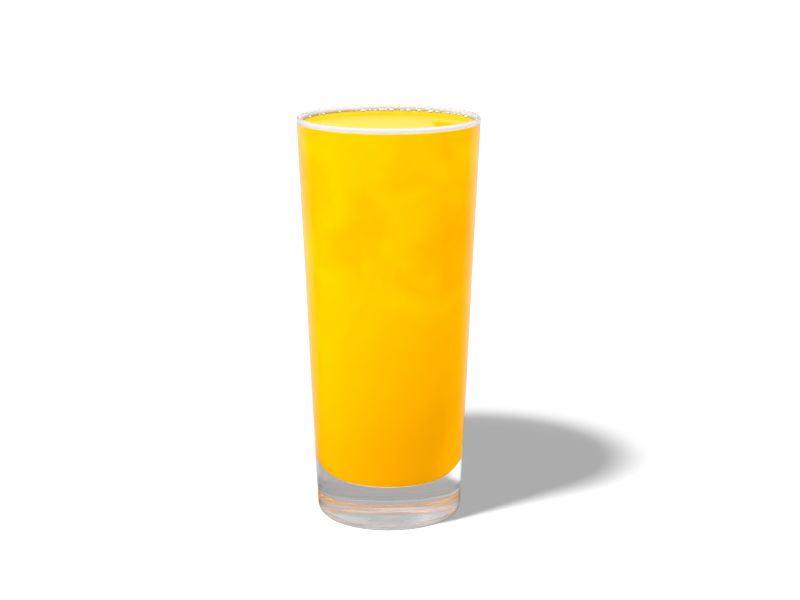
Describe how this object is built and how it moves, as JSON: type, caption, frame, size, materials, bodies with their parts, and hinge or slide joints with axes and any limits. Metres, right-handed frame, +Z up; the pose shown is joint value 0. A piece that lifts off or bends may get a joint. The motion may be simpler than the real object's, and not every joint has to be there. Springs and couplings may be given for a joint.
{
  "type": "glass of orange juice",
  "caption": "Tall tapered drinking glass with a heavy clear bottom, filled nearly to the rim with orange juice.",
  "frame": {"origin": "middle of the ring that the glass stands on", "axes": "+Z up along the glass's own axis"},
  "size_m": [0.066, 0.066, 0.148],
  "materials": {
    "glass": "clear, smooth",
    "juice": "wet, cloudy"
  },
  "bodies": {
    "root": {"glass": "glass", "juice": "juice"}
  },
  "joints": []
}
